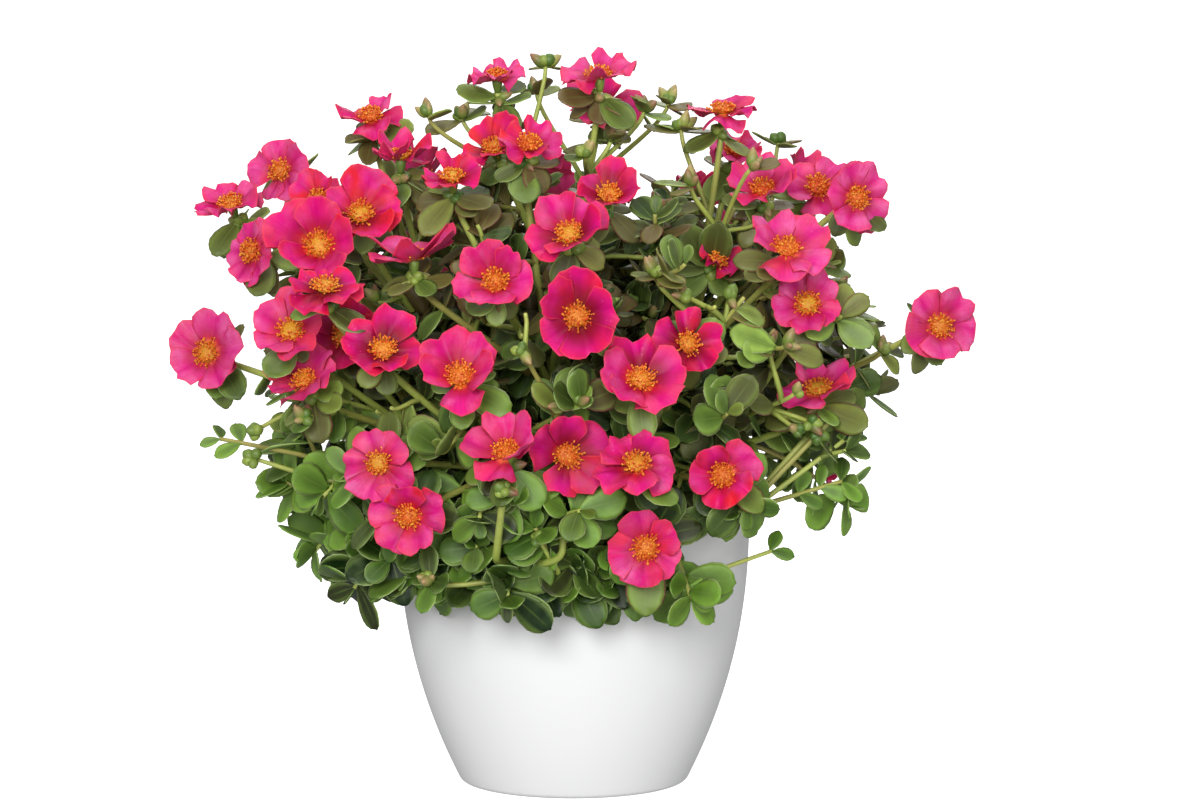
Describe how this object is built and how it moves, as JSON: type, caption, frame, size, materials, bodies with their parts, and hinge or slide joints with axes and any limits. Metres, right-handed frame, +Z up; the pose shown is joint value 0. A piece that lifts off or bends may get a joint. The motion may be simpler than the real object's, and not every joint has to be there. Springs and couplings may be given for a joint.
{
  "type": "potted portulaca in flower",
  "caption": "Round tapered white pot of potting soil with a mounded portulaca: branching shoots, fleshy oval leaves and open cup-shaped pink flowers.",
  "frame": {"origin": "centre of the pot's foot, on the surface that it stands on", "axes": "+Z up along the pot's axis, -Y towards the side that the picture shows, +X to its right"},
  "size_m": [0.4375, 0.3696, 0.3933],
  "materials": {
    "pot": "satin",
    "soil": "matte",
    "leaf": "satin",
    "stem": "satin",
    "bud": "satin",
    "petal": "satin",
    "stamen": "matte"
  },
  "bodies": {
    "root": {"pot": "pot", "potting_soil": "soil", "shoot_01": "leaf", "shoot_02": "leaf", "shoot_03": "leaf", "shoot_04": "leaf", "shoot_05": "leaf", "shoot_06": "leaf", "shoot_07": "leaf", "shoot_08": "leaf", "shoot_09": "leaf", "shoot_10": "leaf", "shoot_11": "leaf", "shoot_12": "leaf", "shoot_13": "leaf", "flower_01": "petal", "flower_02": "petal", "flower_03": "petal", "flower_04": "petal", "flower_05": "petal", "flower_06": "petal", "flower_07": "petal", "flower_08": "petal", "flower_09": "petal", "flower_10": "petal", "flower_11": "petal", "flower_12": "petal", "flower_13": "petal", "flower_14": "petal", "flower_15": "petal", "flower_16": "petal", "flower_17": "petal", "flower_18": "petal", "flower_19": "petal", "flower_20": "petal", "flower_21": "petal", "flower_22": "petal", "flower_23": "petal", "flower_24": "petal", "flower_25": "petal", "flower_26": "petal", "flower_27": "petal", "flower_28": "petal", "flower_29": "petal", "flower_30": "petal", "flower_31": "petal", "flower_32": "petal", "flower_33": "petal", "flower_34": "petal", "flower_35": "petal", "flower_36": "petal", "flower_37": "petal", "flower_38": "petal", "flower_39": "petal", "flower_40": "petal", "flower_41": "petal", "flower_42": "petal", "flower_43": "petal", "flower_44": "petal", "flower_45": "petal"}
  },
  "joints": []
}
